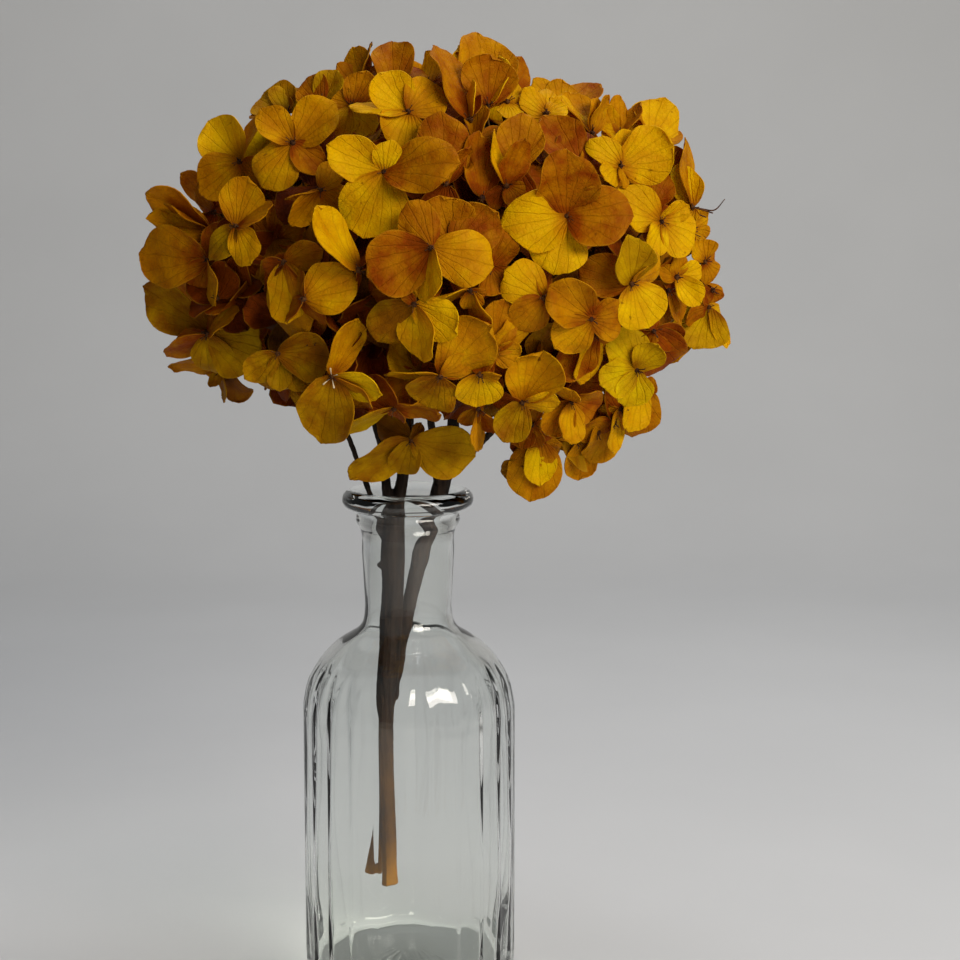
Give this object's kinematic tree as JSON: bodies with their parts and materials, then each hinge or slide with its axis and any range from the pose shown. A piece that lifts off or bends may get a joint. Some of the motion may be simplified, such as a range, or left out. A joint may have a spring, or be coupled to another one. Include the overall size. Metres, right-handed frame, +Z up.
{
  "type": "preserved hydrangea in vase",
  "caption": "Dried hydrangea blooms on woody forked stems, standing in a clear fluted glass bottle vase with a narrow neck.",
  "frame": {"origin": "centre of the flat underside of the vase's foot", "axes": "+Z up along the vase's axis, -Y towards the front of the bouquet, +X to its right"},
  "size_m": [0.2094, 0.1671, 0.3338],
  "materials": {
    "glass": "gloss",
    "bark_dark": "matte",
    "bark_light": "matte",
    "sepals_left": "matte",
    "sepals_right": "matte"
  },
  "bodies": {
    "root": {"vase": "glass", "stem_left": "bark_dark", "stem_right": "bark_light", "bloom_left": "sepals_left", "bloom_right": "sepals_right"}
  },
  "joints": []
}
